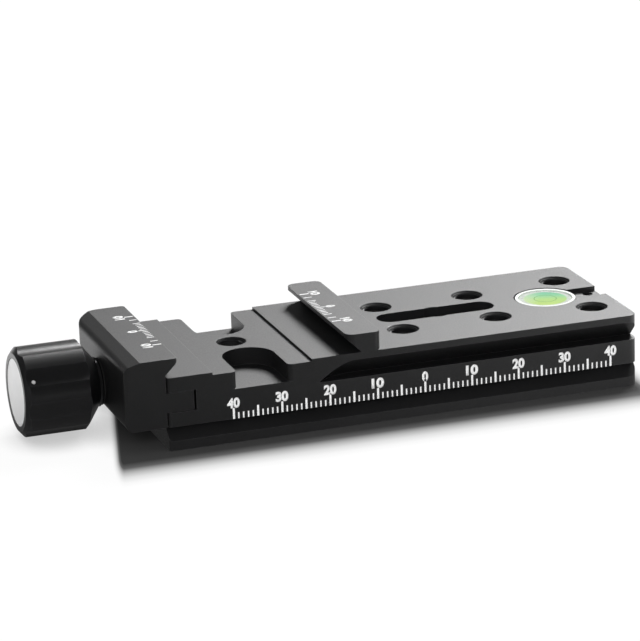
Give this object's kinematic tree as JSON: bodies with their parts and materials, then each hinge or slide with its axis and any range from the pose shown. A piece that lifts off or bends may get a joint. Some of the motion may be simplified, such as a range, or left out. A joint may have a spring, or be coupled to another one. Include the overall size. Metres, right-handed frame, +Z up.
{
  "type": "nodal slide rail",
  "caption": "Nodal slide rail with a dovetail foot, a screw clamp with a fluted knob, a millimetre scale and a round level.",
  "frame": {"origin": "zero mark of the scale, middle of the rail's width, on the underside of the dovetail foot", "axes": "+X along the rail away from the clamp knob, +Y across the rail, +Z up out of the mounting face"},
  "size_m": [0.1249, 0.038, 0.0189],
  "materials": {
    "rail_anodised": "fine bead blast, dark grey anodised",
    "jaw_anodised": "fine bead blast, dark grey anodised",
    "knob_anodised": "satin black anodised",
    "cap_white": "smooth",
    "steel": "turned",
    "spring_steel": "drawn wire",
    "washer_plastic": "matte",
    "black_steel": "black oxide",
    "level_white": "smooth",
    "seal_rubber": "milky silicone",
    "level_clear": "polished",
    "level_green": "clear liquid",
    "level_air": "clear"
  },
  "bodies": {
    "rail": {"rail_body": "rail_anodised", "thread_insert": "steel", "return_spring": "spring_steel", "level_cup": "level_white", "level_seal": "seal_rubber", "level_window": "level_clear", "level_fluid": "level_green", "level_bubble": "level_air"},
    "jaw": {"movable_jaw": "jaw_anodised", "friction_washer": "washer_plastic"},
    "knob": {"clamp_screw": "steel", "retaining_clip": "spring_steel", "thrust_washer": "black_steel", "knob_body": "knob_anodised", "knob_cap": "cap_white", "knob_pin": "steel"}
  },
  "joints": [
    {"name": "jaw_slide", "type": "slide", "parent": "rail", "child": "jaw", "axis": [-1, 0, 0], "range_m": [-0.0002, 0.0045], "deforming": ["return_spring"]},
    {"name": "knob_turn", "type": "hinge", "parent": "jaw", "child": "knob", "pos_m": [-0.0724, 0, 0.0099], "axis": [-1, 0, 0], "range_deg": [-76, 1632]}
  ],
  "couplings": [
    {"joint": "knob_turn", "follows": "jaw_slide", "rad_per_m": 6283.2}
  ]
}
